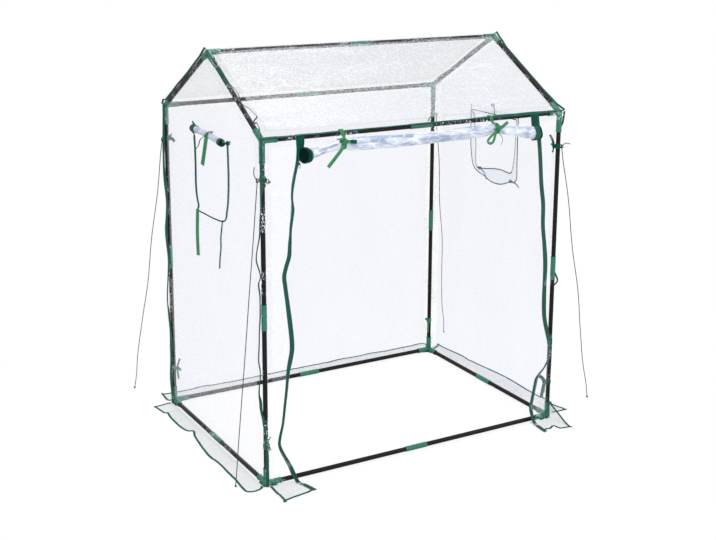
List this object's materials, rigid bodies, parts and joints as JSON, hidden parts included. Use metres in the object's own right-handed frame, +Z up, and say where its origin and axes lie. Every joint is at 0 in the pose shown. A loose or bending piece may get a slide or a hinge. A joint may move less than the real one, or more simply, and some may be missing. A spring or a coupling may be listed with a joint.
{
  "type": "walk-in foil greenhouse",
  "caption": "Small walk-in greenhouse: dark steel tubes in green moulded corners under a clear film cover with a rolled-up door, gable windows, ground skirts and guy ropes.",
  "frame": {"origin": "On the ground, in the middle of the whole object's box with its skirts and guy ropes; the tube frame's own centre is at about x -0.102, y -0.052.", "axes": "+X along the ridge towards the right seen from the door, +Y from the door towards the back, +Z up; z = 0 is the ground."},
  "size_m": [1.8251, 1.3928, 1.6877],
  "materials": {
    "frame_tube": "semi-gloss powder coat, near black",
    "green_fitting": "satin moulded plastic, green",
    "clear_film": "clear soft film, creased, faintly blue-grey",
    "rolled_film": "many layers of clear film rolled up, milky blue-white",
    "green_tape": "woven binding tape, dark green",
    "green_ribbon": "woven ribbon, green",
    "guy_rope": "thin twisted cord, dark grey"
  },
  "bodies": {
    "root": {"post_front_left": "frame_tube", "post_front_right": "frame_tube", "post_back_left": "frame_tube", "post_back_right": "frame_tube", "base_rail_front": "frame_tube", "base_rail_back": "frame_tube", "base_rail_left": "frame_tube", "base_rail_right": "frame_tube", "eave_rail_front": "frame_tube", "eave_rail_back": "frame_tube", "ridge_rail": "frame_tube", "rafter_front_left": "frame_tube", "rafter_front_right": "frame_tube", "rafter_back_left": "frame_tube", "rafter_back_right": "frame_tube", "base_corner_front_left": "green_fitting", "base_corner_front_right": "green_fitting", "base_corner_back_left": "green_fitting", "base_corner_back_right": "green_fitting", "eave_corner_front_left": "green_fitting", "eave_corner_front_right": "green_fitting", "eave_corner_back_left": "green_fitting", "eave_corner_back_right": "green_fitting", "ridge_fitting_left": "green_fitting", "ridge_fitting_right": "green_fitting", "tube_sleeves": "green_fitting", "gable_film_left": "clear_film", "gable_film_right": "clear_film", "roof_film": "clear_film", "back_film": "clear_film", "front_film_left": "clear_film", "front_film_right": "clear_film", "door_header": "clear_film", "door_roll": "rolled_film", "window_roll_left": "rolled_film", "window_flap_right": "clear_film", "skirt_left": "clear_film", "skirt_right": "clear_film", "skirt_back": "clear_film", "skirt_front": "clear_film", "seam_bindings": "green_tape", "zip_tapes": "green_tape", "edge_bindings": "green_tape", "ribbon_ties": "green_ribbon", "guy_ropes": "guy_rope"}
  },
  "joints": []
}
